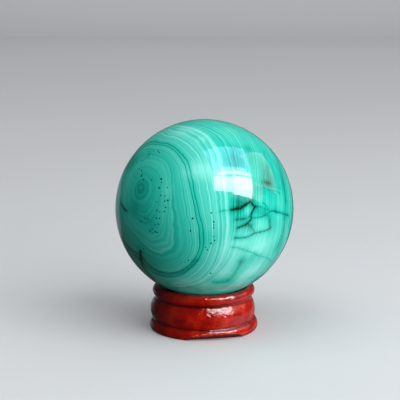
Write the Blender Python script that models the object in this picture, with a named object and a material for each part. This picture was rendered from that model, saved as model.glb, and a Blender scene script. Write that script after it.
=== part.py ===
"""A polished malachite sphere resting on a small turned ring stand of red-lacquered wood.

Metres, +Z up. The origin is straight below the sphere's centre, at the underside of the stand, and -Y is
the front. Angles in a section are counted from straight outwards, up being positive.
"""

import math

import bmesh
import bpy
from mathutils import Matrix, Vector

MM = 0.001

# Driving dimensions
SPHERE_RADIUS = 25.0 * MM
RESTING_GAP = 0.3 * MM
STAND_HEIGHT = 12.55 * MM
BORE_RADIUS = 10.5 * MM
BORE_CHAMFER = 0.4 * MM

# The bead round the top, seen in section: a half ellipse whose crest is the rim of the seat
BEAD_RADIUS = 14.5 * MM
BEAD_HALF_WIDTH = 1.6 * MM
BEAD_MIDDLE = 11.0 * MM
BEAD_TOP_ANGLE = math.radians(90)
BEAD_FOOT_ANGLE = math.radians(-67)

# The narrow groove between the bead and the torus
UPPER_GROOVE_RADIUS = 13.5 * MM
UPPER_GROOVE_HEIGHT = 9.15 * MM

# The torus, the wide bulge round the middle
TORUS_RADIUS = 14.9 * MM
TORUS_MIDDLE = 6.05 * MM
TORUS_HALF_HEIGHT = 3.4 * MM
TORUS_TOP_SWELL = 2.3 * MM
TORUS_FOOT_SWELL = 1.3 * MM
TORUS_TOP_ANGLE = math.radians(63)
TORUS_FOOT_ANGLE = math.radians(-60)

# The narrow groove between the torus and the flange
LOWER_GROOVE_RADIUS = 14.15 * MM
LOWER_GROOVE_HEIGHT = 2.85 * MM

# The flange that the stand rests on
FLANGE_RADIUS = 15.4 * MM
FLANGE_MIDDLE = 0.9 * MM
FLANGE_FOOT_ROUNDING = 0.6 * MM
FLANGE_TOP_ANGLE = math.radians(78)
FLANGE_FOOT_ANGLE = math.radians(-90)

# The bore and seat are cut a little off the middle, so the outside is set over towards -X
OUTSIDE_OFFSET = Vector((-0.2 * MM, 0.0, 0.0))

# The seat is a cone from the bore to the rim, which lies against the sphere at the middle of its width
RIM_RADIUS = BEAD_RADIUS - BEAD_HALF_WIDTH
SEAT_MIDDLE_RADIUS = (BORE_RADIUS + RIM_RADIUS) / 2
SPHERE_REACH = math.sqrt((SPHERE_RADIUS + RESTING_GAP) ** 2 - SEAT_MIDDLE_RADIUS**2)
SEAT_SLOPE = SEAT_MIDDLE_RADIUS / SPHERE_REACH
SEAT_FOOT_HEIGHT = STAND_HEIGHT - SEAT_SLOPE * (RIM_RADIUS - BORE_RADIUS)
SPHERE_CENTRE_HEIGHT = STAND_HEIGHT - SEAT_SLOPE * (RIM_RADIUS - SEAT_MIDDLE_RADIUS) + SPHERE_REACH

# The flat shaved off the lower edge of the flange, leaning in towards the table
FLAT_BEARING = math.radians(12.6)
FLAT_FOOT_DISTANCE = 12.6 * MM
FLAT_LEAN = math.radians(43.7)

# Facets
SPHERE_MERIDIANS = 60
SPHERE_PARALLELS = 30
TURNING_STEPS = 80
ARC_STEP = math.radians(15)
CREASE_ANGLE = math.radians(40)
WELD_DISTANCE = 1e-6

# Finishes, with colours in linear light
MALACHITE_GREEN = (0.036, 0.496, 0.356)
MALACHITE_ROUGHNESS = 0.1
LACQUER_RED = (0.300, 0.016, 0.008)
LACQUER_ROUGHNESS = 0.3


def clear_scene():
    for old in list(bpy.data.objects):
        bpy.data.objects.remove(old, do_unlink=True)


def plain_material(name, colour, roughness):
    material = bpy.data.materials.new(name)
    material.use_nodes = True
    shader = material.node_tree.nodes["Principled BSDF"]
    shader.inputs["Base Color"].default_value = (*colour, 1.0)
    shader.inputs["Roughness"].default_value = roughness
    shader.inputs["Metallic"].default_value = 0.0
    return material


def add_object(name, shape, material, crease=None):
    """Turns a bmesh into a smooth-shaded object, with sharp edges where faces meet past the crease angle."""
    mesh = bpy.data.meshes.new(name)
    shape.to_mesh(mesh)
    shape.free()
    mesh.shade_smooth()
    if crease is not None:
        mesh.set_sharp_from_angle(angle=crease)
    mesh.materials.append(material)
    thing = bpy.data.objects.new(name, mesh)
    bpy.context.collection.objects.link(thing)
    return thing


def arc(centre, half_width, half_height, start, end):
    """Points (radius, height) along a stretch of an ellipse in the turning's section, from start to end."""
    steps = max(1, round(abs(end - start) / ARC_STEP))
    angles = [start + (end - start) * step / steps for step in range(steps + 1)]
    return [
        (centre[0] + half_width * math.cos(angle), centre[1] + half_height * math.sin(angle))
        for angle in angles
    ]


def stand_section():
    """The closed outline (radius, height) that is turned into the stand, from the rim down the outside."""
    bead = arc(
        (RIM_RADIUS, BEAD_MIDDLE),
        BEAD_HALF_WIDTH,
        STAND_HEIGHT - BEAD_MIDDLE,
        BEAD_TOP_ANGLE,
        BEAD_FOOT_ANGLE,
    )
    torus_top = arc(
        (TORUS_RADIUS - TORUS_TOP_SWELL, TORUS_MIDDLE),
        TORUS_TOP_SWELL,
        TORUS_HALF_HEIGHT,
        TORUS_TOP_ANGLE,
        0.0,
    )
    torus_foot = arc(
        (TORUS_RADIUS - TORUS_FOOT_SWELL, TORUS_MIDDLE),
        TORUS_FOOT_SWELL,
        TORUS_HALF_HEIGHT,
        0.0,
        TORUS_FOOT_ANGLE,
    )
    flange = arc(
        (LOWER_GROOVE_RADIUS, FLANGE_MIDDLE),
        FLANGE_RADIUS - LOWER_GROOVE_RADIUS,
        LOWER_GROOVE_HEIGHT - FLANGE_MIDDLE,
        FLANGE_TOP_ANGLE,
        0.0,
    )
    foot = arc(
        (FLANGE_RADIUS - FLANGE_FOOT_ROUNDING, FLANGE_MIDDLE),
        FLANGE_FOOT_ROUNDING,
        FLANGE_MIDDLE,
        0.0,
        FLANGE_FOOT_ANGLE,
    )
    return [
        *bead,
        (UPPER_GROOVE_RADIUS, UPPER_GROOVE_HEIGHT),
        *torus_top,
        *torus_foot[1:],
        (LOWER_GROOVE_RADIUS, LOWER_GROOVE_HEIGHT),
        *flange,
        *foot[1:],
        (BORE_RADIUS + BORE_CHAMFER, 0.0),
        (BORE_RADIUS, BORE_CHAMFER),
        (BORE_RADIUS, SEAT_FOOT_HEIGHT),
    ]


def turned(section, steps):
    """Spins a closed section once round Z."""
    shape = bmesh.new()
    points = [shape.verts.new((radius, 0.0, height)) for radius, height in section]
    edges = [shape.edges.new((point, points[index - 1])) for index, point in enumerate(points)]
    bmesh.ops.spin(
        shape,
        geom=points + edges,
        cent=(0, 0, 0),
        axis=(0, 0, 1),
        angle=math.tau,
        steps=steps,
        use_merge=True,
    )
    bmesh.ops.remove_doubles(shape, verts=shape.verts, dist=WELD_DISTANCE)
    bmesh.ops.recalc_face_normals(shape, faces=shape.faces)
    return shape


def set_outside_over(shape):
    """Moves the rim and all that is outside it off the axis of the bore, which leaves the wall uneven."""
    outside = [point for point in shape.verts if point.co.xy.length > SEAT_MIDDLE_RADIUS]
    bmesh.ops.translate(shape, verts=outside, vec=OUTSIDE_OFFSET)


def shave_flat(shape):
    """Cuts the lower edge of the flange off with one leaning plane, and closes the cut with a flat face."""
    outward = Vector((math.sin(FLAT_BEARING), -math.cos(FLAT_BEARING), 0.0))
    normal = outward * math.cos(FLAT_LEAN) + Vector((0, 0, -1)) * math.sin(FLAT_LEAN)
    cut = bmesh.ops.bisect_plane(
        shape,
        geom=shape.verts[:] + shape.edges[:] + shape.faces[:],
        dist=WELD_DISTANCE,
        plane_co=outward * FLAT_FOOT_DISTANCE + OUTSIDE_OFFSET,
        plane_no=normal,
        clear_outer=True,
    )
    open_edges = [item for item in cut["geom_cut"] if isinstance(item, bmesh.types.BMEdge)]
    bmesh.ops.holes_fill(shape, edges=open_edges)
    bmesh.ops.remove_doubles(shape, verts=shape.verts, dist=WELD_DISTANCE)
    bmesh.ops.recalc_face_normals(shape, faces=shape.faces)


def ring_stand():
    shape = turned(stand_section(), TURNING_STEPS)
    set_outside_over(shape)
    shave_flat(shape)
    lacquer = plain_material("red lacquer on turned wood", LACQUER_RED, LACQUER_ROUGHNESS)
    return add_object("ring_stand", shape, lacquer, crease=CREASE_ANGLE)


def malachite_sphere():
    shape = bmesh.new()
    bmesh.ops.create_uvsphere(
        shape,
        u_segments=SPHERE_MERIDIANS,
        v_segments=SPHERE_PARALLELS,
        radius=SPHERE_RADIUS,
        matrix=Matrix.Identity(4),
    )
    stone = plain_material("polished malachite", MALACHITE_GREEN, MALACHITE_ROUGHNESS)
    sphere = add_object("malachite_sphere", shape, stone)
    sphere.location.z = SPHERE_CENTRE_HEIGHT
    return sphere


clear_scene()
ring_stand()
malachite_sphere()
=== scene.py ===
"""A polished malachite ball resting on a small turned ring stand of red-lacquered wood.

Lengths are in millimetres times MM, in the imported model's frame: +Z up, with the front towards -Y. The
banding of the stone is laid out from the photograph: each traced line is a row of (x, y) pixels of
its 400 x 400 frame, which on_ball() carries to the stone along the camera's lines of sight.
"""

import math
import random

import bmesh
import bpy
import numpy as np
from mathutils import Matrix, Vector, kdtree, noise


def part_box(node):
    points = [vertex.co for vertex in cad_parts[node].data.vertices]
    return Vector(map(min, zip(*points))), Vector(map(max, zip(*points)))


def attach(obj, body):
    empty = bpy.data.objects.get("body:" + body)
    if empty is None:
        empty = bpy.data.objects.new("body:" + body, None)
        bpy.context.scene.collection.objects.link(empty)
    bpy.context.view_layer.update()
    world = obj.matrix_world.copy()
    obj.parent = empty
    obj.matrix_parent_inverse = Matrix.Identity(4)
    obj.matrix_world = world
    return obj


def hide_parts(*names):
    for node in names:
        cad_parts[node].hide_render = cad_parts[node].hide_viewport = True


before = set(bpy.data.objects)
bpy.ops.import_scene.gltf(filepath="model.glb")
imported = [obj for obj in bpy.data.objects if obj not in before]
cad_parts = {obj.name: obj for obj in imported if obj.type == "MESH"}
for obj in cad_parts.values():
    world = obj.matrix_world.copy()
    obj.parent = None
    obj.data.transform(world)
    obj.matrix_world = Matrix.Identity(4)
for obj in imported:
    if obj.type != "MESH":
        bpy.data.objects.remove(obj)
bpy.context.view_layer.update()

MM = 0.001

# The ball, as the frame has it
BALL_LOW, BALL_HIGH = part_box("malachite_sphere")
BALL_CENTRE = (BALL_LOW + BALL_HIGH) / 2
BALL_RADIUS = (BALL_HIGH.z - BALL_LOW.z) / 2

# The camera: how far and how high it stands, and where the ball's centre falls in the picture
PICTURE_SIZE = 400
CAMERA_DISTANCE = 340.0 * MM
CAMERA_ELEVATION = math.radians(11.45)
BALL_IN_PICTURE = (204.4, 208.1)
BALL_PIXEL_RADIUS = 89.1
SENSOR_WIDTH = 36.0
NEAREST_SEEN = 10 * MM
FARTHEST_SEEN = 20.0

# Where the bands of the big nodule start: a small eye on the left of the ball
HEART = (141.0, 187.5)

# The bands' traced lines, each with its growth: how many millimetres of stone had formed by then. Behind
# the ball a line is guessed, as (bearing round the heart in degrees, millimetres from the heart).
TRACED_BANDS = {
    "eye ring": {
        "growth": 3.2,
        "seen": (
            (150, 185), (146, 179), (138, 180.5), (134, 186), (133.5, 192), (135, 198), (139, 201),
            (145, 198), (149, 193),
        ),
        "behind": (),
    },
    "edge of the pitted zone": {
        "growth": 9.0,
        "seen": (
            (140, 162), (150, 159.5), (157, 161), (163, 166), (167, 175), (168.5, 190), (167.5, 203),
            (165, 215), (162, 227), (158.5, 236), (152, 239), (145, 235), (138, 229), (131, 221),
            (125, 211),
        ),
        "behind": ((180, 7.5),),
    },
    "pale lobe": {
        "growth": 10.2,
        "seen": (
            (140, 159), (150, 156.5), (160, 158.5), (167, 165), (170, 175), (170.5, 190), (170, 203),
            (171, 215), (171.5, 238), (169, 246.5), (162, 250.5), (155, 249), (148, 244), (140, 237.5),
            (132, 229), (124, 218),
        ),
        "behind": ((180, 8.7),),
    },
    "line outside the lobe": {
        "growth": 11.6,
        "seen": (
            (140, 156), (150, 153.5), (160, 155), (167, 158.5), (172, 165), (175, 174), (177, 184),
            (178, 198), (180, 212), (183.5, 224), (186.5, 238), (186.5, 249), (182, 256.5), (172, 262),
            (161, 262.5), (152, 259), (145, 251), (137, 242), (129, 233), (121, 221),
        ),
        "behind": ((180, 10.2),),
    },
    "inner line of the pair": {
        "growth": 15.8,
        "seen": (
            (128, 168), (137, 153), (150, 144.5), (160, 145), (168, 146.5), (175, 151), (180, 157),
            (184.5, 165), (187, 173), (190, 188), (193, 200), (197, 220), (199.5, 230), (200.5, 240),
            (200, 249), (196, 257), (189, 265), (180, 271), (172, 272.7), (160, 271.5), (152, 267),
            (146, 261), (141, 254), (135, 252), (128, 245.5), (121, 236),
        ),
        "behind": ((180, 14.5), (-150, 17.5)),
    },
    "outer line of the pair": {
        "growth": 16.9,
        "seen": (
            (129, 164), (138, 149.5), (150, 142), (160, 142.5), (170, 144.5), (177, 149.5), (183, 155),
            (187.5, 162), (190, 170), (193.3, 189), (196, 200), (201, 220), (203.5, 230), (204, 240),
            (203, 250), (199, 259), (192, 267), (182, 274.5), (172, 276.5), (160, 275.5), (150, 270.5),
            (142, 262), (137, 257), (129, 250),
        ),
        "behind": ((180, 15.5), (-150, 18.8)),
    },
    "bright ring": {
        "growth": 20.5,
        "seen": (
            (152, 134), (165, 136), (175, 138), (185, 143), (191, 148), (198, 156), (202, 165),
            (205, 178), (208, 193), (210.5, 210), (212, 230), (211, 246), (206, 260), (196, 273),
            (183, 281), (170, 284),
        ),
        "behind": ((150, 18.5), (180, 19.5), (-150, 22), (-120, 23.5), (-95, 25)),
    },
    "thin line": {
        "growth": 24.0,
        "seen": (
            (160, 129), (175, 130), (190, 134), (200, 141), (206, 150), (210, 163), (213, 176),
            (216, 190), (218.5, 203), (220.5, 220), (220.5, 240), (217, 257), (211, 269), (200, 280),
        ),
        "behind": ((150, 21.5), (180, 23), (-150, 25.5), (-120, 27.5), (-90, 29)),
    },
    "line over the top": {
        "growth": 29.0,
        "seen": (
            (172, 123), (190, 122.5), (200, 124.5), (210, 127), (218, 131), (225, 136), (230, 142),
            (234, 150), (237, 162), (239, 180), (240, 200), (237, 235), (230, 258), (216, 275),
            (195, 287),
        ),
        "behind": ((125, 25), (150, 25), (180, 27), (-150, 30), (-120, 31.5)),
    },
    "veined zone": {
        "growth": 38.0,
        "seen": (
            (236, 124.5), (248, 133), (255, 143), (258.5, 155), (260, 175), (261, 195), (262, 215),
            (260, 235), (254, 252), (243, 268), (228, 281),
        ),
        "behind": ((75, 37), (90, 34), (130, 32), (180, 34), (-150, 37), (-120, 39), (-90, 40)),
    },
    "right edge stripe": {
        "growth": 52.0,
        "seen": (
            (268, 146), (276, 158), (281, 170), (284.5, 185), (286, 198), (285.5, 212), (284, 230),
            (281, 245), (276, 257), (270, 267),
        ),
        "behind": ((60, 49), (90, 46), (130, 44), (180, 45), (-130, 48), (-90, 51), (-60, 52)),
    },
}
FAR_SIDE_GROWTH = 80.0

# A traced line is laid out in steps of one degree round the heart, with its corners eased over 13 of them
BEARING_STEPS = 360
EASED_STEPS = 13

# How broadly the bands of two nodules round into each other where they meet, in millimetres
MEETING_WIDTH = 1.6

# The tone of the stone, from 0, the deepest green, to 1, pale mint, in the big nodule and in the stone
# round it: the growth at which the zones start and end, then (growth, tone) through them
NODULE_ZONES = (
    0.0,
    32.0,
    (
        (0.0, 0.56), (1.0, 0.4), (1.4, 0.42), (1.7, 0.56), (2.8, 0.5), (3.2, 0.65), (3.8, 0.63),
        (8.2, 0.73), (9.0, 0.77), (9.7, 0.73), (11.3, 0.73), (11.6, 0.58), (11.9, 0.72), (13.4, 0.75),
        (15.5, 0.75), (15.78, 0.36), (16.06, 0.73), (16.62, 0.73), (16.9, 0.32), (17.18, 0.76),
        (19.0, 0.77), (19.6, 0.87), (21.0, 0.8), (23.7, 0.86), (24.0, 0.72), (24.4, 0.86), (27.1, 0.83),
        (27.4, 0.69), (27.8, 0.81), (29.0, 0.62), (29.6, 0.78),
    ),
)
OUTER_ZONES = (
    32.0,
    80.0,
    (
        (32.0, 0.78), (38.0, 0.77), (46.0, 0.8), (50.5, 0.76), (51.6, 0.5), (52.4, 0.55), (53.2, 0.78),
        (56.0, 0.72), (58.5, 0.5), (59.2, 0.68), (62.0, 0.72), (64.0, 0.45), (64.6, 0.62), (66.0, 0.5),
        (69.0, 0.7), (72.0, 0.55), (74.0, 0.4), (75.0, 0.64), (80.0, 0.5),
    ),
)

# Smaller nodules on the far side: (longitude from the front, latitude) in degrees, the growth they start at
FAR_NODULES = (
    (148.0, 18.0, 33.0),
    (-122.0, -34.0, 31.0),
    (140.0, -58.0, 44.0),
    (-152.0, 44.0, 41.0),
)

# How the far nodules' bands stray from circles: (millimetres from one swell to the next, millimetres off)
FAR_WANDER = ((16.0, 5.0), (5.0, 1.1))

# Vector noise takes its offsets from the clock unless it is given a seed
NOISE_SEED = 2

# How all bands wander a little, in the same way
BAND_WANDER = ((4.0, 0.45), (1.2, 0.1))

# Irregular lines of growth: (millimetres from one dark line to the next, how far they swing the tone)
GROWTH_LINES = ((4.8, 0.07), (1.9, 0.1), (0.75, 0.14), (0.4, 0.2))

# They are fainter near the heart, grow bolder from 3 to 18 mm of growth, and are fainter in paler patches
HEART_FAINTNESS = {"From Min": 3.0, "From Max": 18.0, "To Min": 0.6, "To Max": 1.0}
PALE_FAINTNESS = {"From Min": -0.5, "From Max": 0.0, "To Min": 0.4, "To Max": 1.0}

# What a mark at its strongest adds to the tone: deeper patches, some of them painted shade, the halo along a
# vein, the vein, and painted shade on a pit's floor
MARKS = {"patch": -0.22, "halo": -0.3, "vein": -0.75, "pit": -0.8}

# The colour of each tone
STONE_COLOURS = (
    (0.0, "003024"),
    (0.15, "005442"),
    (0.30, "037a64"),
    (0.45, "0a9c8a"),
    (0.60, "1ab6a4"),
    (0.72, "32c4b0"),
    (0.84, "54d0be"),
    (1.0, "84e6dc"),
)
STONE_ROUGHNESS = 0.07
STONE_IOR = 1.55

# Dark veins: (half width in millimetres, darkness), then the traced line
VEINS = (
    ((0.13, 0.4), ((220, 211.3), (225, 210.7), (229, 210.3), (232, 209.8))),
    (
        (0.25, 1.0),
        ((231.5, 209.8), (233, 209.3), (238, 209), (241, 208), (244, 206), (247, 204), (250, 202.4)),
    ),
    ((0.3, 0.8), ((233, 209.9), (235.5, 209.2), (237, 208.4))),
    ((0.28, 0.95), ((250, 202.4), (252, 204), (254.5, 206.6), (256, 206.6))),
    ((0.26, 0.95), ((254.5, 206.8), (253.5, 209), (252, 212), (251, 215), (251.4, 217.5), (251, 219.4))),
    (
        (0.24, 0.95),
        ((251, 219.4), (248.5, 221.6), (246.8, 223.8), (244, 225.2), (241, 226.4), (238, 228)),
    ),
    ((0.42, 0.8), ((247.5, 223.4), (246, 224.8))),
    ((0.32, 0.5), ((236, 219.6), (240, 219.4), (244, 219), (247, 218.4), (250, 216))),
    (
        (0.2, 0.4),
        ((252, 218.4), (256, 217.8), (260, 217), (264, 215.6), (267, 214.4), (270, 212), (272, 210.8)),
    ),
    ((0.2, 0.3), ((256, 206.6), (261, 207), (266, 209), (269, 211))),
    ((0.17, 0.6), ((272, 210.8), (277, 211.8), (281, 212.8), (284, 214), (286, 214.4), (288.5, 215.6))),
    ((0.42, 0.42), ((266.5, 214.5), (268.6, 217), (269.6, 221), (270, 226), (270.5, 228.5))),
    ((0.17, 0.75), ((235, 238), (240, 237.8), (246, 237.2), (250, 236), (252.5, 234.6), (254.5, 233))),
    ((0.2, 0.75), ((254.5, 233), (259, 232.4), (264, 231), (268, 229.4), (271, 227.4))),
    ((0.18, 0.35), ((250.5, 225), (253, 229), (254.5, 232.5))),
    ((0.13, 0.3), ((260, 256), (265, 257), (269, 258.5), (271, 262))),
    ((0.2, 0.5), ((254, 253.6), (257, 255), (260, 256))),
    ((0.16, 0.4), ((263, 202.5), (265.5, 205), (267.5, 208), (269, 210.5))),
    (
        (0.45, 0.34),
        ((241, 262), (238, 268), (235, 273), (231, 278), (226, 281.5), (219, 282.5), (213, 282)),
    ),
    ((0.14, 0.4), ((232, 247), (238, 248), (243, 249.6), (248, 251), (254, 253.6))),
    ((0.36, 1.0), ((140.6, 252), (140.6, 256), (141, 260))),
    (
        (0.26, 0.95),
        ((141, 251), (141, 257), (141.5, 262), (143, 266.5), (147, 272), (152, 277), (155, 281)),
    ),
    ((0.2, 0.9), ((121, 203), (122.5, 206), (124.6, 209.4), (127, 211))),
    ((0.3, 0.8), ((123.6, 209), (125, 209.6))),
    ((0.5, 0.34), ((262.6, 182.4), (266, 183), (270.5, 184))),
    ((0.2, 0.2), ((263, 180), (264.4, 174), (267, 164.5))),
    ((0.2, 0.16), ((266, 180), (267.4, 174), (269, 167))),
    ((0.16, 0.24), ((263, 187), (266, 189), (271, 190.4), (276, 191.6), (280, 193.4))),
    ((0.16, 0.2), ((266, 186), (271, 187.4), (276, 187.6), (281, 189))),
    (
        (0.3, 0.28),
        ((122, 237), (128, 246), (135, 252.6), (141, 256), (148, 266), (158, 272.4), (170, 274.6)),
    ),
    ((0.24, 0.35), ((170, 274.6), (182, 272), (190, 266.4), (197, 259.4))),
    ((0.55, 0.2), ((266, 152), (274, 162), (280, 172), (283, 182), (284.6, 192), (286, 201))),
    ((0.4, 0.22), ((284, 214), (284.4, 222), (283, 232), (280, 241), (276, 250))),
)

# Patches of deeper or paler stone, and along the ball's lower edge deep patches of painted shade where it
# meets the stand: the pixel at the middle, radius in millimetres, how much deeper
PATCHES = (
    ((240, 204), 1.7, 0.7),
    ((234, 206), 1.2, 0.3),
    ((239, 214), 1.6, 0.6),
    ((259, 211), 1.5, 0.9),
    ((265, 212), 1.3, 0.8),
    ((250.5, 226.5), 0.9, 0.9),
    ((242, 222), 1.2, 0.4),
    ((276, 208), 1.2, 0.5),
    ((273, 220), 2.0, 0.5),
    ((261, 224), 1.8, -0.3),
    ((247.5, 210.5), 0.9, -0.8),
    ((266.6, 183.2), 1.0, 1.0),
    ((236, 160), 3.4, 1.15),
    ((262, 163), 5.0, 1.0),
    ((246, 138), 4.5, 0.35),
    ((277, 178), 4.0, 0.5),
    ((273, 198), 3.0, 0.6),
    ((134, 209), 2.4, 0.7),
    ((143, 220), 4.5, 0.5),
    ((154, 226), 2.4, 0.4),
    ((150, 262), 3.0, 0.4),
    ((232, 246), 3.4, -0.8),
    ((254, 270), 3.0, -0.8),
    ((248, 148), 1.1, 0.8),
    ((235, 148), 1.0, 0.6),
    ((242, 261), 1.3, 1.1),
    ((244, 274), 2.2, -0.5),
    ((227, 272), 2.2, -0.4),
    ((268, 178), 2.6, 0.7),
    ((274, 184), 2.6, 0.5),
    # Painted shade along the ball's lower edge, where it meets the stand
    ((168, 284), 0.8, 0.9),
    ((176, 288), 0.9, 0.9),
    ((189, 287), 0.8, 0.9),
    ((198, 290), 0.9, 0.9),
    ((212, 290), 0.9, 0.7),
    ((212, 170), 2.6, -0.7),
    ((193, 170), 3.0, -0.8),
    ((150, 152), 3.5, 0.3),
    ((241, 197), 2.6, 1.2),
    ((196, 130), 2.6, -0.3),
    ((202, 139), 1.6, -0.5),
    ((260, 246), 3.2, -0.8),
    ((247, 241), 1.8, -0.3),
    ((252, 258), 1.3, 0.6),
    ((277, 246), 2.0, 0.4),
    ((258, 189), 2.6, 1.1),
    ((252, 252), 1.8, -0.4),
    ((240, 282), 2.6, -0.9),
    ((168, 190), 2.0, -0.3),
    ((216, 238), 2.4, 0.35),
    ((203, 240), 2.4, 0.25),
    ((230, 262), 3.2, -0.7),
    ((217, 275), 2.6, -0.7),
    ((206, 283), 2.4, -0.8),
    ((184, 281), 3.0, -0.4),
    ((182, 131), 3.0, -0.5),
    ((132, 162), 3.0, 1.1),
    ((244, 152), 5.0, 0.3),
    ((250, 281), 1.8, -0.6),
    ((252, 200), 1.5, 0.8),
    ((238, 171), 2.0, 0.4),
    ((251, 228), 1.5, 0.4),
    ((275, 229), 2.0, 0.4),
)

# Pits, where the fibrous stone lost a grain in polishing: the traced ones, as pixels
PITS = (
    (147, 149.5), (149, 151.5), (149, 154), (153.5, 151), (158, 151), (159, 152.5), (145, 158.5),
    (147, 157), (149, 157), (141.5, 160.5), (143.5, 161), (136.5, 162), (139, 169.5), (141.5, 170.5),
    (137.5, 174), (142, 174), (134.5, 177), (141.5, 176), (143.5, 179.5), (151.5, 180), (161, 179),
    (161.5, 182.5), (159, 188), (167.5, 187.5), (160.5, 195.5), (164.5, 196), (164.5, 201),
    (167.5, 200.5), (157, 202), (165.5, 207.5), (156.5, 210.5), (159.5, 212), (164.5, 211.5),
    (144.5, 218.5), (146, 219), (148, 219), (156.5, 218), (159.5, 218.5), (141, 221.5), (158.5, 224.5),
    (155, 225), (152, 229), (150, 231), (155, 232), (152.5, 233), (157, 232.5), (190.5, 231),
    (192.5, 218.5), (143.5, 248.5), (185, 262.5), (188, 260.5), (205.5, 247.5), (207.5, 250),
    (213.5, 222), (213.5, 225), (213.5, 228), (213.5, 236.5), (214.5, 240.5), (211, 243.5), (211.5, 213),
    (210.5, 273.5),
)
PIT_RADIUS = (0.17 * MM, 0.3 * MM)
PIT_DEPTH = 0.12 * MM
PIT_STEEPNESS = 1.5

# Pits scattered where the photograph doesn't show the ball, in degrees: the longitudes of four clusters and
# their spread, and the middle and spread of the latitudes
FAR_PITS = 55
FAR_PIT_LONGITUDES = (112, 165, 205, 248)
FAR_PIT_SPREAD = 7
FAR_PIT_LATITUDES = (5, 26)
SCATTER_SEED = 7

# A vein's depth, how softly its sides and its stain fade, and how many times its width the stain reaches
VEIN_DEPTH = 0.03 * MM
VEIN_EDGE = 1.6
HALO_WIDTH = 4.0
HALO_EDGE = 1.5

# A vein ebbs along its run, from faint to strong
EBB_LENGTH = 0.7 * MM
EBB_MIDDLE = 0.75
EBB_SWING = 0.5

# How the veins stray from their traced lines, and how many times as far patches and pits stray from circles
VEIN_WANDER = ((1.5 * MM, 0.12 * MM), (0.5 * MM, 0.1 * MM))
PATCH_RAGGEDNESS = 4.0
PIT_RAGGEDNESS = 0.6

# The ball's mesh is halved twice within these many times the reach of a pit, and then of a vein
BALL_SUBDIVISIONS = 7
PIT_REACH = 0.45 * MM
PIT_REFINING = (1.6, 1.0)
VEIN_REACH = 0.8 * MM
VEIN_REFINING = (1.3, 0.8)
VEIN_STEPS = 8

# The stand's section in millimetres: the frame's turned form, its torus a little flatter above its middle.
# Angles are in degrees from straight outwards, up being positive.
STAND_HEIGHT = 12.55
BORE_RADIUS = 10.5
BORE_CHAMFER = 0.4
RIM_RADIUS = 12.9
BEAD_HALF_WIDTH = 1.6
BEAD_MIDDLE = 11.0
BEAD_ANGLES = (90, -67)
UPPER_GROOVE = (13.5, 9.25)
TORUS_RADIUS = 14.9
TORUS_MIDDLE = 6.05
TORUS_HALF_HEIGHT = 3.4
TORUS_FOOT_SWELL = 1.3
TORUS_FOOT_ANGLES = (0, -60)
FLANK_MIDDLE = (6.63, 3.94)
FLANK_RADIUS = 8.6
FLANK_ANGLES = (35, 18)
LOWER_GROOVE = (14.15, 2.85)
FLANGE_RADIUS = 15.4
FLANGE_MIDDLE = 0.9
FLANGE_ANGLES = (78, 0)
FLANGE_FOOT_ROUNDING = 0.6
FLANGE_FOOT_ANGLES = (0, -90)
ARC_STEP = 5
RESTING_GAP = 0.3
SEAT_MIDDLE = (BORE_RADIUS + RIM_RADIUS) / 2

# The stand's mesh: the spacing of the section's points in millimetres, and the steps of the turning
SECTION_STEP = 0.3
TURNING_STEPS = 380
WELD = 1e-6

# The outside is set over from the bore, and the torus bellies out a little more to the left
OUTSIDE_OFFSET = Vector((-0.2 * MM, 0.0, 0.0))
BELLY_SHIFT = 0.3 * MM

# The unevenness of brushed lacquer above the foot: (from one swell to the next, height of a swell). The
# swells are drawn out along the brushing.
LACQUER_WAVES = ((3.0 * MM, 0.05 * MM), (1.3 * MM, 0.06 * MM), (0.7 * MM, 0.026 * MM))
BRUSHING = Vector((1.0, 1.0, 1.7))
UNBRUSHED_HEIGHT = 0.3 * MM

# The flat shaved off the flange
FLAT_BEARING = math.radians(12.6)
FLAT_FOOT_DISTANCE = 12.6 * MM
FLAT_LEAN = math.radians(46.5)

# In millimetres: the flat is pressed in fully low down and less towards its top, from where only that share
# of it is; its face is rough with small chips
FLAT_TOP = 1.9
FLAT_TOP_FADE = 0.8
FLAT_TOP_PRESSED = 0.4
CHIP_DEPTH = 0.06
CHIP_SIZE = 0.35
FLAT_EDGE = 0.15

# Lengths in millimetres: the flat's wood is unlacquered and rougher up to a ragged line, and coloured dark
# maroon there as painted shade; a band over that line gets a painted glint where its lacquer is ragged
RAG_SIZE = 0.45
BARE_AND_SHADED_TOP = 1.25
BARE_AND_SHADED_RAG = 0.4
BARE_AND_SHADED_FADE = 0.3
GLINT_HEIGHT = 1.8
GLINT_WIDTH = 0.5
GLINT_SHARE = 0.55
GLINT_CONTRAST = 3

# In millimetres: painted shade lies in the grooves, less on the right where more light falls, and from just
# past the rim inwards, under the ball
HOLLOW_SHADE_WIDTH = 0.45
HOLLOW_SHADE_LOSS_RIGHT = 0.6
RIM_SHADE_REACH = 0.32
RIM_SHADE_SHIFT = 0.22
RIM_SHADE_FADE = 0.3

# The lacquer's clouded reds, the painted light over them (painted shade in the hollows, painted shade on the
# unlacquered wood low on the flat, a painted glint on its ragged top edge), and its orange peel, with sizes
# in millimetres
LACQUER_CLOUD = 3.5
LACQUER_COLOURS = ((0.3, "840a05"), (0.5, "a01006"), (0.72, "b82309"))
# Painted shade in the hollows and low on the flat, and a painted glint on the flat's top edge
PAINTED_LIGHT = {"hollow": "240203", "cut": "58080a", "frayed_glint": "ff7a5c"}
LACQUER_ROUGHNESS = 0.05
BARE_WOOD_ROUGHNESS = 0.5
LACQUER_IOR = 1.52
PEEL_SIZE = 0.9
PEEL_HEIGHT = 0.12

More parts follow.
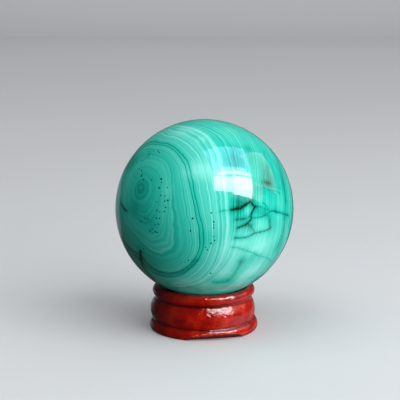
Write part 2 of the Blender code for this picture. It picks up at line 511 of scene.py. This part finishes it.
# What the polish shows of the studio: the pixels of each lamp's corners, from the top left round, then its
# brightness and colour
GLIMPSES = {
    "window top": (((219, 172), (250, 173.5), (252, 177), (216, 175.5)), 36.0, "ffffff"),
    "window left": (((215.5, 177.2), (233, 176.7), (233, 192.6), (212.5, 189.8)), 35.0, "ffffff"),
    "window right": (((233, 176.2), (252.5, 178.7), (251, 198.5), (233, 193.5)), 48.0, "ffffff"),
    "window glare": (((214, 170), (251, 172), (252.5, 190), (213, 188)), 8.0, "ffffff"),
    "window haze": (((222, 167), (244, 168.5), (247, 173), (219, 172)), 13.0, "ffffff"),
    "window sill": (((230, 192), (252, 198), (251, 203.5), (230, 198)), 3.0, "f8f4f0"),
    "sky": (((206, 150.5), (246, 150.5), (248, 170.5), (212, 170.5)), 17.0, "a0c4ff"),
    "curtain": (((242, 150), (265, 159), (277, 188), (248, 188)), 5.0, "f8f6e8"),
    "curtain foot": (((250, 180), (264, 188), (261, 201), (250, 199)), 6.5, "ffeae0"),
    "grey wall": (((117, 184), (125, 182), (125, 240), (120, 242)), 0.7, "f0e8ff"),
    "ceiling": (((212, 130), (246, 134), (258, 152), (228, 152)), 0.9, "fff4f0"),
    "haze": (((228, 227), (268, 230), (260, 272), (226, 272)), 1.5, "fff4f0"),
}
LAMP_DISTANCE = 0.5

# The lit table and wall, which only show in the polish: the middle, the two sides and the power of each
GLOWS = {
    "lit table": (Vector((0.38, -0.36, -0.01)), Vector((-0.6, 0, 0)), Vector((0, 0.66, 0)), 0.45),
    "lit table nearer": (Vector((0.1, -0.05, -0.01)), Vector((-0.14, 0, 0)), Vector((0, 0.3, 0)), 0.04),
    "lit wall": (Vector((0.3, 1.2, 0.22)), Vector((-1.6, 0, 0)), Vector((0, 0, 1.05)), 0.3),
}
GLOW_COLOUR = "f0ecff"

# Soft lamps that light the stone and the stand and don't show in the polish: degrees round from the front
# towards +X, degrees up, metres from the ball, width and height in metres, and power
SOFT_LAMPS = {
    "soft key": (50, 42, 0.9, (0.9, 0.7), 5.1),
    "low key": (50, 8, 0.9, (1.0, 0.2), 6.9),
    "fill": (-54, 60, 1.0, (1.0, 0.6), 3.6),
    "table bounce": (48, -24, 0.6, (0.7, 0.3), 1.2),
    "overhead": (150, 64, 1.5, (2.4, 2.4), 12.0),
}

# A lamp that washes the paper wall behind: its middle, its two sides and its power
WALL_WASH = (Vector((0, 1.0, 1.7)), Vector((2.4, 0, 0)), Vector((0, 0.4, 0.7)), 14.0)

# The grey light from all round, the paper, and the curve that lifts the paper up behind, in metres
SURROUND_COLOUR = "c4c4c2"
SURROUND_STRENGTH = 0.09
PAPER_COLOUR = "d6d9dc"
PAPER_ROUGHNESS = 0.6
PAPER_HALF_WIDTH = 4
PAPER_FRONT = -2.5
CURVE_START = 1.4
CURVE_RADIUS = 0.9
CURVE_STEPS = 15
PAPER_TOP = 3.0


def linear(code):
    """A colour in sRGB hex as the linear light that the shaders take."""
    parts = [int(code[place:place + 2], 16) / 255 for place in (0, 2, 4)]
    light = [part / 12.92 if part <= 0.04045 else ((part + 0.055) / 1.055) ** 2.4 for part in parts]
    return (*light, 1.0)


def held(value):
    """A value held between 0 and 1."""
    return max(0.0, min(1.0, value))


def add_node(material, kind, sockets=None, stops=None, **settings):
    """Adds one node with its settings; a socket given for an input is linked to it, and a value is set."""
    tree = material.node_tree
    node = tree.nodes.new(kind)
    for name, value in settings.items():
        setattr(node, name, value)
    for name, value in (sockets or {}).items():
        if isinstance(value, bpy.types.NodeSocket):
            tree.links.new(value, node.inputs[name])
        else:
            node.inputs[name].default_value = value
    for index, (place, colour) in enumerate(stops or ()):
        elements = node.color_ramp.elements
        stop = elements[index] if index < 2 else elements.new(place)
        stop.position = place
        stop.color = colour
    return node


def new_material(name):
    """An empty material, for nodes to be added to."""
    material = bpy.data.materials.new(name)
    material.use_nodes = True
    material.node_tree.nodes.clear()
    return material


def noise_swing(material, sockets, reach, **settings):
    """A value that noise swings from -reach to +reach."""
    texture = add_node(material, "ShaderNodeTexNoise", {**sockets, "Detail": 1.0}, **settings)
    return add_node(
        material,
        "ShaderNodeMapRange",
        {"Value": texture.outputs["Fac"], "To Min": -reach, "To Max": reach},
        clamp=False,
    ).outputs["Result"]


def noise_shift(places, swells):
    """Where noise shifts each place to, as the sum of its swells: (from one swell to the next, reach)."""
    return sum(
        np.array([noise.noise_vector(place / size) for place in places]) * reach for size, reach in swells
    )


def finish_piece(name, shape, material, attributes):
    """Makes a smooth-shaded object of a bmesh, with its point attributes, riding on the body."""
    mesh = bpy.data.meshes.new(name)
    shape.to_mesh(mesh)
    shape.free()
    mesh.shade_smooth()
    for label, values in attributes.items():
        layer = mesh.attributes.new(label, "FLOAT", "POINT")
        layer.data.foreach_set("value", np.asarray(values, np.float32))
    mesh.materials.append(material)
    piece = bpy.data.objects.new(name, mesh)
    bpy.context.collection.objects.link(piece)
    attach(piece, "root")
    return piece


# The camera

def camera_frame():
    """The camera's place, its forward, right and up directions, and its focal length in pixels."""
    focal = BALL_PIXEL_RADIUS * math.sqrt(CAMERA_DISTANCE**2 - BALL_RADIUS**2) / BALL_RADIUS
    across = (BALL_IN_PICTURE[0] - PICTURE_SIZE / 2) / focal
    below = (BALL_IN_PICTURE[1] - PICTURE_SIZE / 2) / focal
    towards = Vector((0, math.cos(CAMERA_ELEVATION), -math.sin(CAMERA_ELEVATION)))
    heading = math.asin(across / math.sqrt(1 + across**2 + below**2) / towards.y)
    dip = math.atan2(-towards.z, towards.y * math.cos(heading)) - math.atan(below)
    right = Vector((math.cos(heading), math.sin(heading), 0))
    forward = Vector((-math.sin(heading) * math.cos(dip), math.cos(heading) * math.cos(dip), -math.sin(dip)))
    place = BALL_CENTRE - towards * CAMERA_DISTANCE
    return place, forward, right, right.cross(forward), focal


def add_camera():
    place, forward, right, up, focal = camera_frame()
    lens = bpy.data.cameras.new("camera")
    lens.sensor_width = SENSOR_WIDTH
    lens.lens = focal * SENSOR_WIDTH / PICTURE_SIZE
    lens.clip_start = NEAREST_SEEN
    lens.clip_end = FARTHEST_SEEN
    camera = bpy.data.objects.new("camera", lens)
    turn = Matrix((right, up, -forward)).transposed()
    camera.matrix_world = Matrix.Translation(place) @ turn.to_4x4()
    bpy.context.collection.objects.link(camera)
    bpy.context.scene.camera = camera


def line_of_sight(pixel):
    """The direction in which the camera sees a pixel."""
    forward, right, up, focal = camera_frame()[1:]
    across = (pixel[0] - PICTURE_SIZE / 2) / focal
    below = (pixel[1] - PICTURE_SIZE / 2) / focal
    return (forward + right * across - up * below).normalized()


def on_ball(pixel):
    """The direction from the ball's centre to where a pixel's line of sight first meets the ball."""
    sight = line_of_sight(pixel)
    from_centre = camera_frame()[0] - BALL_CENTRE
    along = from_centre.dot(sight)
    inside = max(0.0, along**2 - from_centre.length_squared + BALL_RADIUS**2)
    return (from_centre + sight * (-along - math.sqrt(inside))).normalized()


def direction(longitude, latitude):
    """The direction at degrees round from the front towards +X, and degrees up."""
    bearing = math.radians(longitude)
    rise = math.radians(latitude)
    return Vector((math.sin(bearing) * math.cos(rise), -math.cos(bearing) * math.cos(rise), math.sin(rise)))


# The stone's bands

def round_the_heart(directions):
    """Each direction's bearing round the heart, from rightwards through up, and the millimetres from it."""
    heart = on_ball(HEART)
    rightwards = Vector((0, 0, 1)).cross(heart).normalized()
    upwards = heart.cross(rightwards)
    x, y, z = (directions @ np.array(axis) for axis in (rightwards, upwards, heart))
    return np.arctan2(y, x), np.arccos(np.clip(z, -1, 1)) * BALL_RADIUS / MM


def band_distance(band, bearings):
    """How far a traced band lies from the heart at each bearing, in millimetres, with its corners eased."""
    seen = np.array([on_ball(pixel) for pixel in band["seen"]])
    seen_bearings, seen_distances = round_the_heart(seen)
    knots = list(zip(seen_bearings, seen_distances))
    knots += [(math.radians(bearing), distance) for bearing, distance in band["behind"]]
    knots.sort()
    steps = np.linspace(-math.pi, math.pi, BEARING_STEPS + 1)[:-1]
    line = np.interp(steps, *np.array(knots).T, period=math.tau)
    window = np.hanning(EASED_STEPS)
    thrice_round = np.convolve(np.tile(line, 3), window / window.sum(), "same")
    return np.interp(bearings, steps, thrice_round[BEARING_STEPS:2 * BEARING_STEPS], period=math.tau)


def nodule_growth(directions):
    """The growth in the big nodule at each direction, worked out between its traced bands."""
    bearings, distances = round_the_heart(directions)
    lines = [np.zeros(len(bearings))]
    lines += [band_distance(band, bearings) for band in TRACED_BANDS.values()]
    lines.append(np.full(len(bearings), math.pi * BALL_RADIUS / MM))
    growths = [0.0, *(band["growth"] for band in TRACED_BANDS.values()), FAR_SIDE_GROWTH]
    growth = np.zeros(len(bearings))
    for inner, outer, start, end in zip(lines, lines[1:], growths, growths[1:]):
        growth += (end - start) * np.clip((distances - inner) / (outer - inner), 0, 1)
    return growth


def growth_at(directions):
    """How many millimetres of stone had formed before the stone at each direction did."""
    growth = nodule_growth(directions)
    places = [Vector(towards) * BALL_RADIUS / MM for towards in directions]
    strays = noise_shift(places, FAR_WANDER)
    for longitude, latitude, start in FAR_NODULES:
        middle = np.array(direction(longitude, latitude)) * BALL_RADIUS / MM
        away = np.linalg.norm(np.array(places) + strays - middle, axis=1)
        nearer = np.minimum(growth, start + away)
        meeting = np.exp(-np.abs(growth - start - away) / MEETING_WIDTH)
        growth = nearer - MEETING_WIDTH * np.log1p(meeting)
    return growth


# The stone's veins, patches and pits

def distance_to_line(points, line):
    """The distance from each point to a line of straight stretches."""
    nearest = np.full(len(points), np.inf)
    for start, end in zip(line, line[1:]):
        stretch = end - start
        along = np.clip((points - start) @ stretch / (stretch @ stretch), 0, 1)
        nearest = np.minimum(nearest, np.linalg.norm(points - start - along[:, None] * stretch, axis=1))
    return nearest


def traced_veins():
    """Each vein's half width, its darkness and its line on the ball."""
    return [
        (width * MM, darkness, np.array([on_ball(pixel) for pixel in pixels]) * BALL_RADIUS)
        for (width, darkness), pixels in VEINS
    ]


def all_pits():
    """Each pit's middle and radius: the traced ones, then the scattered ones."""
    draw = random.Random(SCATTER_SEED)
    pits = [(on_ball(pixel) * BALL_RADIUS, draw.uniform(*PIT_RADIUS)) for pixel in PITS]
    for _ in range(FAR_PITS):
        longitude = draw.choice(FAR_PIT_LONGITUDES) + draw.gauss(0, FAR_PIT_SPREAD)
        latitude = draw.gauss(*FAR_PIT_LATITUDES)
        pits.append((direction(longitude, latitude) * BALL_RADIUS, draw.uniform(*PIT_RADIUS)))
    return pits


def vein_marks(places, strayed, veins):
    """How dark the veins are at each place, and how dark the halo along them is."""
    ebb = EBB_MIDDLE + EBB_SWING * np.array([noise.noise(place / EBB_LENGTH) for place in places])
    vein = np.zeros(len(places))
    halo = np.zeros(len(places))
    for width, darkness, line in veins:
        away = distance_to_line(strayed, line)
        vein = np.maximum(vein, darkness * ebb * np.exp(-((away / width) ** VEIN_EDGE)))
        halo = np.maximum(halo, darkness * np.exp(-((away / (HALO_WIDTH * width)) ** HALO_EDGE)))
    return vein, halo


def patch_marks(strayed):
    """How much deeper the tone is at each place, or paler where it is below 0; along the lower edge it is
    painted shade.
    """
    patch = np.zeros(len(strayed))
    for pixel, radius, strength in PATCHES:
        away = np.linalg.norm(strayed - np.array(on_ball(pixel)) * BALL_RADIUS, axis=1)
        patch += strength * np.exp(-((away / (radius * MM)) ** 2))
    return patch


def pit_marks(strayed, pits):
    """How deep in a pit each place is, from 0, out of it, to 1, on its floor."""
    pit = np.zeros(len(strayed))
    for middle, radius in pits:
        away = np.linalg.norm(strayed - np.array(middle), axis=1)
        pit = np.maximum(pit, np.clip(PIT_STEEPNESS - PIT_STEEPNESS * (away / radius) ** 2, 0, 1))
    return pit


# The stone ball

def refine_near(shape, places, reach):
    """Halves the edges near the given places and sets the new points on the ball."""
    tree = kdtree.KDTree(len(places))
    for index, place in enumerate(places):
        tree.insert(place, index)
    tree.balance()
    near = [edge for edge in shape.edges if tree.find((edge.verts[0].co + edge.verts[1].co) / 2)[2] < reach]
    bmesh.ops.subdivide_edges(shape, edges=near, cuts=1)
    bmesh.ops.triangulate(shape, faces=[face for face in shape.faces if len(face.verts) > 3])
    for point in shape.verts:
        point.co = point.co.normalized() * BALL_RADIUS


def fine_ball(veins, pits):
    """The ball as a fine mesh round the origin, finer still round its pits and veins."""
    shape = bmesh.new()
    bmesh.ops.create_icosphere(shape, subdivisions=BALL_SUBDIVISIONS, radius=BALL_RADIUS)
    in_pits = [middle for middle, _ in pits]
    along_veins = [
        Vector(start + (end - start) * step / VEIN_STEPS)
        for _, _, line in veins
        for start, end in zip(line, line[1:])
        for step in range(VEIN_STEPS + 1)
    ]
    for share in PIT_REFINING:
        refine_near(shape, in_pits, PIT_REACH * share)
    for share in VEIN_REFINING:
        refine_near(shape, along_veins, VEIN_REACH * share)
    return shape


def malachite_ball():
    """The ball, with its pattern kept on its points and its pits and veins sunk in."""
    veins = traced_veins()
    pits = all_pits()
    shape = fine_ball(veins, pits)
    places = [point.co.copy() for point in shape.verts]
    points = np.array(places)
    strays = noise_shift(places, VEIN_WANDER)
    vein, halo = vein_marks(places, points + strays, veins)
    pattern = {
        "growth": growth_at(points / BALL_RADIUS),
        "vein": vein,
        "halo": halo,
        "patch": patch_marks(points + PATCH_RAGGEDNESS * strays),
        "pit": pit_marks(points + PIT_RAGGEDNESS * strays, pits),
    }
    for point, dent, crack in zip(shape.verts, pattern["pit"], vein):
        point.co *= 1 - (dent * PIT_DEPTH + crack * VEIN_DEPTH) / BALL_RADIUS
    bmesh.ops.translate(shape, verts=shape.verts, vec=BALL_CENTRE)
    bmesh.ops.recalc_face_normals(shape, faces=shape.faces)
    piece = finish_piece("malachite_ball", shape, polished_malachite(), pattern)
    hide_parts("malachite_sphere")
    return piece


def wandering_growth(material, growth):
    """The growth, wandering by a fraction of a millimetre so that no band runs quite true."""
    place = add_node(material, "ShaderNodeTexCoord").outputs["Object"]
    for size, reach in BAND_WANDER:
        swing = noise_swing(material, {"Vector": place, "Scale": 1 / (size * MM)}, reach)
        growth = add_node(material, "ShaderNodeMath", {0: growth, 1: swing}, operation="ADD").outputs[0]
    return growth


def zone_tone(material, growth):
    """The tone of each zone of growth: the big nodule's, then that of the stone round it."""
    tone = 0.0
    for start, end, zones in (NODULE_ZONES, OUTER_ZONES):
        share = add_node(
            material,
            "ShaderNodeMapRange",
            {"Value": growth, "From Min": start, "From Max": end},
        ).outputs["Result"]
        zone = add_node(
            material,
            "ShaderNodeValToRGB",
            {"Fac": share},
            stops=[((reached - start) / (end - start), (grey, grey, grey, 1.0)) for reached, grey in zones],
        ).outputs["Color"]
        tone = add_node(material, "ShaderNodeMath", {0: tone, 1: zone}, operation="ADD").outputs[0]

    # The nodule's last tone is also the outer zones' first, and both ramps hold it, so it is taken off once
    shared_tone = OUTER_ZONES[2][0][1]
    return add_node(material, "ShaderNodeMath", {0: tone, 1: shared_tone}, operation="SUBTRACT").outputs[0]


def growth_line_tone(material, tone, growth, waves, patch):
    """The tone with the irregular lines of growth, fainter near the heart and in paler patches."""
    from_heart = add_node(material, "ShaderNodeMapRange", {"Value": growth, **HEART_FAINTNESS})
    from_pale = add_node(material, "ShaderNodeMapRange", {"Value": patch, **PALE_FAINTNESS})
    boldness = add_node(
        material,
        "ShaderNodeMath",
        {0: from_heart.outputs["Result"], 1: from_pale.outputs["Result"]},
        operation="MULTIPLY",
    ).outputs[0]
    for pitch, strength in GROWTH_LINES:
        swing = noise_swing(material, {"W": waves, "Scale": 1 / pitch}, strength, noise_dimensions="1D")
        tone = add_node(
            material, "ShaderNodeMath", {0: swing, 1: boldness, 2: tone}, operation="MULTIPLY_ADD"
        ).outputs[0]
    return tone


def polished_malachite():
    """Cut and polished malachite: the eye gets silky rings of dark green to pale mint under a gloss."""
    material = new_material("polished malachite")
    growth, vein, halo, patch, pit = (
        add_node(material, "ShaderNodeAttribute", attribute_name=label).outputs["Fac"]
        for label in ("growth", "vein", "halo", "patch", "pit")
    )
    waves = wandering_growth(material, growth)
    tone = zone_tone(material, waves)
    tone = growth_line_tone(material, tone, growth, waves, patch)
    marks = {"patch": patch, "halo": halo, "vein": vein, "pit": pit}
    # On a pit's floor the darkening is painted shade
    for label, strength in MARKS.items():
        tone = add_node(
            material, "ShaderNodeMath", {0: marks[label], 1: strength, 2: tone}, operation="MULTIPLY_ADD"
        ).outputs[0]
    colour = add_node(
        material,
        "ShaderNodeValToRGB",
        {"Fac": tone},
        stops=[(place, linear(code)) for place, code in STONE_COLOURS],
    ).outputs["Color"]
    shader = add_node(
        material,
        "ShaderNodeBsdfPrincipled",
        {"Base Color": colour, "Roughness": STONE_ROUGHNESS, "IOR": STONE_IOR, "Metallic": 0.0},
    )
    add_node(material, "ShaderNodeOutputMaterial", {"Surface": shader.outputs["BSDF"]})
    return material


# The ring stand

def arc(centre, half_width, half_height, angles):
    """Points (radius, height) along a stretch of an ellipse in the section, a few degrees apart."""
    start, end = angles
    steps = max(2, round(abs(end - start) / ARC_STEP))
    turns = [math.radians(start + (end - start) * step / steps) for step in range(steps + 1)]
    radius, height = centre
    return [(radius + half_width * math.cos(turn), height + half_height * math.sin(turn)) for turn in turns]


def stand_section():
    """The closed outline (radius, height) that is turned into the stand, from the rim down the outside."""
    reach = math.sqrt((BALL_RADIUS / MM + RESTING_GAP) ** 2 - SEAT_MIDDLE**2)
    seat_foot = STAND_HEIGHT - SEAT_MIDDLE / reach * (RIM_RADIUS - BORE_RADIUS)
    torus_foot_middle = (TORUS_RADIUS - TORUS_FOOT_SWELL, TORUS_MIDDLE)
    flange_middle = (LOWER_GROOVE[0], FLANGE_MIDDLE)
    flange_width = FLANGE_RADIUS - LOWER_GROOVE[0]
    flange_height = LOWER_GROOVE[1] - FLANGE_MIDDLE
    foot_middle = (FLANGE_RADIUS - FLANGE_FOOT_ROUNDING, FLANGE_MIDDLE)
    return [
        *arc((RIM_RADIUS, BEAD_MIDDLE), BEAD_HALF_WIDTH, STAND_HEIGHT - BEAD_MIDDLE, BEAD_ANGLES),
        UPPER_GROOVE,
        *arc(FLANK_MIDDLE, FLANK_RADIUS, FLANK_RADIUS, FLANK_ANGLES),
        *arc(torus_foot_middle, TORUS_FOOT_SWELL, TORUS_HALF_HEIGHT, TORUS_FOOT_ANGLES),
        LOWER_GROOVE,
        *arc(flange_middle, flange_width, flange_height, FLANGE_ANGLES),
        *arc(foot_middle, FLANGE_FOOT_ROUNDING, FLANGE_MIDDLE, FLANGE_FOOT_ANGLES)[1:],
        (BORE_RADIUS + BORE_CHAMFER, 0.0),
        (BORE_RADIUS, BORE_CHAMFER),
        (BORE_RADIUS, seat_foot),
    ]


def evenly_spaced(outline, step):
    """The same closed outline with points one step apart, its creases softened as lacquer softens them."""
    corners = np.array([*outline, outline[0]])
    runs = np.concatenate([[0], np.cumsum(np.linalg.norm(np.diff(corners, axis=0), axis=1))])
    count = round(runs[-1] / step)
    places = np.linspace(0, runs[-1], count + 1)[:-1]
    line = np.stack([np.interp(places, runs, corners[:, axis]) for axis in (0, 1)], 1)
    return line * 0.5 + (np.roll(line, 1, 0) + np.roll(line, -1, 0)) * 0.25


def turned_stand():
    """The section spun once round Z, like a turned ring."""
    section = evenly_spaced(stand_section(), SECTION_STEP)
    shape = bmesh.new()
    points = [shape.verts.new((radius * MM, 0, height * MM)) for radius, height in section]
    edges = [shape.edges.new((point, points[index - 1])) for index, point in enumerate(points)]
    bmesh.ops.spin(
        shape,
        geom=points + edges,
        cent=(0, 0, 0),
        axis=(0, 0, 1),
        angle=math.tau,
        steps=TURNING_STEPS,
        use_merge=True,
    )
    bmesh.ops.remove_doubles(shape, verts=shape.verts, dist=WELD)
    bmesh.ops.recalc_face_normals(shape, faces=shape.faces)
    return shape


def set_outside_over(shape, outside):
    """Moves the outside off the axis of the bore, and the torus a little more."""
    bmesh.ops.translate(shape, verts=outside, vec=OUTSIDE_OFFSET)
    for point in outside:
        rise = (point.co.z / MM - TORUS_MIDDLE) / TORUS_HALF_HEIGHT
        point.co.x -= BELLY_SHIFT * max(0.0, 1 - rise**2)


def brush_lacquer(shape, outside):
    """Makes the outside uneven, because brushed lacquer is thicker here and thinner there."""
    shape.normal_update()
    brushed = [point for point in outside if point.co.z > UNBRUSHED_HEIGHT]
    pushes = []
    for point in brushed:
        swell = sum(noise.noise(point.co * BRUSHING / size) * height for size, height in LACQUER_WAVES)
        pushes.append(point.normal * swell)
    for point, push in zip(brushed, pushes):
        point.co += push


def shave_flat(shape):
    """Presses what stands past a leaning plane back onto it; says where it is unlacquered wood with painted
    shade, and where its ragged lacquer gets a painted glint.
    """
    outward = Vector((math.sin(FLAT_BEARING), -math.cos(FLAT_BEARING), 0))
    normal = outward * math.cos(FLAT_LEAN) + Vector((0, 0, -1)) * math.sin(FLAT_LEAN)
    foot = outward * FLAT_FOOT_DISTANCE + OUTSIDE_OFFSET
    bare_and_shaded = []
    frayed_glint = []
    for point in shape.verts:
        past = (point.co - foot).dot(normal) / MM
        if past > 0:
            below_top = held(FLAT_TOP / FLAT_TOP_FADE - point.co.z / (FLAT_TOP_FADE * MM))
            pressed = FLAT_TOP_PRESSED + (1 - FLAT_TOP_PRESSED) * below_top
            chip = CHIP_DEPTH * (1 + noise.noise(point.co / (CHIP_SIZE * MM)))
            point.co -= normal * MM * (past * pressed + chip)
        height = point.co.z / MM
        rag = noise.noise(point.co / (RAG_SIZE * MM))
        on_face = held(1 + past / FLAT_EDGE)
        # Low on the flat: unlacquered, rougher wood, coloured dark maroon as painted shade
        bare_and_shaded.append(on_face * held((BARE_AND_SHADED_TOP - height + BARE_AND_SHADED_RAG * rag) / BARE_AND_SHADED_FADE))
        # A painted glint on the ragged lacquer along the flat's top edge
        ragged = held(GLINT_SHARE + GLINT_CONTRAST * rag)
        frayed_glint.append(on_face * ragged * math.exp(-(((height - GLINT_HEIGHT) / GLINT_WIDTH) ** 2)))
    return bare_and_shaded, frayed_glint


def shaded_hollows(shape):
    """How much painted shade each point gets: in the two grooves, less on the right, and from the rim into
    the seat.
    """
    heights = np.array([point.co.z for point in shape.verts]) / MM
    radii = np.array([point.co.xy.length for point in shape.verts]) / MM
    rightwards = np.array([point.co.x for point in shape.verts]) / MM / radii
    hollow_shade = np.zeros(len(heights))
    for radius, height in (UPPER_GROOVE, LOWER_GROOVE):
        away = np.hypot(heights - height, radii - radius)
        kept = 1 - HOLLOW_SHADE_LOSS_RIGHT * np.clip(rightwards, 0, 1)
        hollow_shade = np.maximum(hollow_shade, np.exp(-((away / HOLLOW_SHADE_WIDTH) ** 2)) * kept)
    shaded_radius = RIM_RADIUS + RIM_SHADE_REACH - RIM_SHADE_SHIFT * rightwards
    return np.maximum(hollow_shade, np.clip((shaded_radius - radii) / RIM_SHADE_FADE, 0, 1))


def ring_stand():
    """The ring, turned, brushed with lacquer, and shaved flat at one place on its flange."""
    shape = turned_stand()
    outside = [point for point in shape.verts if point.co.xy.length > SEAT_MIDDLE * MM]
    set_outside_over(shape, outside)
    brush_lacquer(shape, outside)
    bare_and_shaded, frayed_glint = shave_flat(shape)
    marks = {"hollow": shaded_hollows(shape), "cut": bare_and_shaded, "frayed_glint": frayed_glint}
    piece = finish_piece("lacquered_stand", shape, red_lacquer(), marks)
    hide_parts("ring_stand")
    return piece


def clouded_red(material, place):
    """Reds that cloud into each other, where a brush has left more lacquer or less."""
    cloud = add_node(
        material,
        "ShaderNodeTexNoise",
        {"Vector": place, "Scale": 1 / (LACQUER_CLOUD * MM), "Detail": 3.0},
    )
    return add_node(
        material,
        "ShaderNodeValToRGB",
        {"Fac": cloud.outputs["Fac"]},
        stops=[(share, linear(code)) for share, code in LACQUER_COLOURS],
    ).outputs["Color"]


def orange_peel(material, place):
    """Orange peel under the gloss: swells about 0.9 mm long round the ring and 0.5 mm high."""
    drawn = add_node(material, "ShaderNodeMapping", {"Vector": place, "Scale": BRUSHING})
    peel = add_node(
        material,
        "ShaderNodeTexNoise",
        {"Vector": drawn.outputs["Vector"], "Scale": 1 / (PEEL_SIZE * MM), "Detail": 2.0},
    )
    return add_node(
        material,
        "ShaderNodeBump",
        {"Height": peel.outputs["Fac"], "Strength": 1.0, "Distance": PEEL_HEIGHT * MM},
    ).outputs["Normal"]


def red_lacquer():
    """Red lacquer brushed on turned wood: the eye gets a wet gloss with broken highlights over deep red."""
    material = new_material("red lacquer on turned wood")
    place = add_node(material, "ShaderNodeTexCoord").outputs["Object"]
    colour = clouded_red(material, place)
    shares = {
        label: add_node(material, "ShaderNodeAttribute", attribute_name=label).outputs["Fac"]
        for label in PAINTED_LIGHT
    }
    # Painted shade in the hollows and low on the flat, and a painted glint on the flat's top edge, go over
    # the reds
    for label, painted_colour in PAINTED_LIGHT.items():
        colour = add_node(
            material,
            "ShaderNodeMix",
            {"Factor": shares[label], "A": colour, "B": linear(painted_colour)},
            data_type="RGBA",
        ).outputs["Result"]
    roughness = add_node(
        material,
        "ShaderNodeMath",
        {0: shares["cut"], 1: BARE_WOOD_ROUGHNESS, 2: LACQUER_ROUGHNESS},
        operation="MULTIPLY_ADD",
    ).outputs[0]
    shader = add_node(
        material,
        "ShaderNodeBsdfPrincipled",
        {
            "Base Color": colour,
            "Roughness": roughness,
            "IOR": LACQUER_IOR,
            "Metallic": 0.0,
            "Normal": orange_peel(material, place),
        },
    )
    add_node(material, "ShaderNodeOutputMaterial", {"Surface": shader.outputs["BSDF"]})
    return material


# The plain studio

def pale_matt_paper():
    """Matt backdrop paper: the eye gets an even pale grey with no shine."""
    material = bpy.data.materials.new("pale matt paper")
    material.use_nodes = True
    shader = material.node_tree.nodes["Principled BSDF"]
    shader.inputs["Base Color"].default_value = linear(PAPER_COLOUR)
    shader.inputs["Roughness"].default_value = PAPER_ROUGHNESS
    return material


def add_sheet(name, profile, paper):
    """A wide sheet along a profile of (y, z) points in metres, kept out of mirrored and bounced light."""
    shape = bmesh.new()
    ends = [shape.verts.new((x, *profile[0])) for x in (-PAPER_HALF_WIDTH, PAPER_HALF_WIDTH)]
    edge = shape.edges.new(ends)
    for here, there in zip(profile, profile[1:]):
        grown = bmesh.ops.extrude_edge_only(shape, edges=[edge])["geom"]
        edge = next(item for item in grown if isinstance(item, bmesh.types.BMEdge))
        bmesh.ops.translate(shape, verts=edge.verts[:], vec=(0, there[0] - here[0], there[1] - here[1]))
    mesh = bpy.data.meshes.new(name)
    shape.to_mesh(mesh)
    shape.free()
    mesh.shade_smooth()
    mesh.materials.append(paper)
    sheet = bpy.data.objects.new(name, mesh)
    bpy.context.collection.objects.link(sheet)
    sheet.visible_diffuse = False
    sheet.visible_glossy = False
    return sheet


def add_paper():
    """Pale paper that lies flat under the stand, and more that curves up into a wall behind it."""
    paper = pale_matt_paper()
    floor = add_sheet("floor", [(PAPER_FRONT, 0.0), (CURVE_START, 0.0)], paper)
    floor.visible_shadow = False
    turns = [math.radians(90 / CURVE_STEPS * step) for step in range(CURVE_STEPS + 1)]
    curve = [
        (CURVE_START + CURVE_RADIUS * math.sin(turn), CURVE_RADIUS - CURVE_RADIUS * math.cos(turn))
        for turn in turns
    ]
    add_sheet("wall", [*curve, (CURVE_START + CURVE_RADIUS, PAPER_TOP)], paper)


def hang_lamp(name, middle, across, upwards, power, colour="ffffff"):
    """A rectangular lamp with the given middle and sides, which shines against their cross product."""
    lamp = bpy.data.lights.new(name, "AREA")
    lamp.shape = "RECTANGLE"
    lamp.size = across.length
    lamp.size_y = upwards.length
    lamp.energy = power
    lamp.color = linear(colour)[:3]
    light = bpy.data.objects.new(name, lamp)
    back = across.cross(upwards).normalized()
    turn = Matrix((across.normalized(), back.cross(across).normalized(), back)).transposed()
    light.matrix_world = Matrix.Translation(middle) @ turn.to_4x4()
    bpy.context.collection.objects.link(light)
    return light


def add_glimpsed_lamp(name, corners, brightness, colour):
    """A lamp that only the polish shows, hung so that the ball mirrors it between four pixels."""
    places = []
    for pixel in corners:
        normal = on_ball(pixel)
        sight = line_of_sight(pixel)
        bounce = sight - 2 * sight.dot(normal) * normal
        places.append(BALL_CENTRE + normal * BALL_RADIUS + bounce * LAMP_DISTANCE)
    across = (places[1] - places[0] + places[2] - places[3]) / 2
    upwards = (places[0] - places[3] + places[1] - places[2]) / 2
    power = brightness * across.length * upwards.length
    light = hang_lamp(name, sum(places, Vector()) / 4, across, upwards, power, colour)
    light.visible_diffuse = False


def add_soft_lamp(name, azimuth, elevation, distance, size, power):
    """A broad white lamp that the polish doesn't show."""
    towards = direction(azimuth, elevation)
    across = Vector((0, 0, 1)).cross(towards).normalized()
    middle = BALL_CENTRE + towards * distance
    light = hang_lamp(name, middle, across * size[0], towards.cross(across) * size[1], power)
    light.visible_glossy = False
    return light


def shade_from(light, piece):
    """Keeps a lamp's light off one piece."""
    shaded = bpy.data.collections.new("shaded from " + light.name)
    shaded.objects.link(piece)
    shaded.collection_objects[0].light_linking.link_state = "EXCLUDE"
    light.light_linking.receiver_collection = shaded


def add_surround():
    """Faint grey light from all round."""
    world = bpy.data.worlds.new("studio")
    world.use_nodes = True
    background = world.node_tree.nodes["Background"]
    background.inputs["Color"].default_value = linear(SURROUND_COLOUR)
    background.inputs["Strength"].default_value = SURROUND_STRENGTH
    bpy.context.scene.world = world


def add_studio(stand):
    """All the light: the lamps that the polish shows, and those that light the pieces."""
    add_surround()
    for name, (corners, brightness, colour) in GLIMPSES.items():
        add_glimpsed_lamp(name, corners, brightness, colour)
    soft_lamps = {name: add_soft_lamp(name, *lamp) for name, lamp in SOFT_LAMPS.items()}

    # The fill would make the stand's left too bright, and the overhead lamp faces straight down
    shade_from(soft_lamps["fill"], stand)
    soft_lamps["overhead"].rotation_euler = (0, 0, 0)
    for name, glow in GLOWS.items():
        hang_lamp(name, *glow, GLOW_COLOUR).visible_diffuse = False
    hang_lamp("wall wash", *WALL_WASH).visible_glossy = False
    bpy.context.scene.view_settings.view_transform = "Standard"


noise.seed_set(NOISE_SEED)
add_camera()
malachite_ball()
stand = ring_stand()
add_paper()
add_studio(stand)
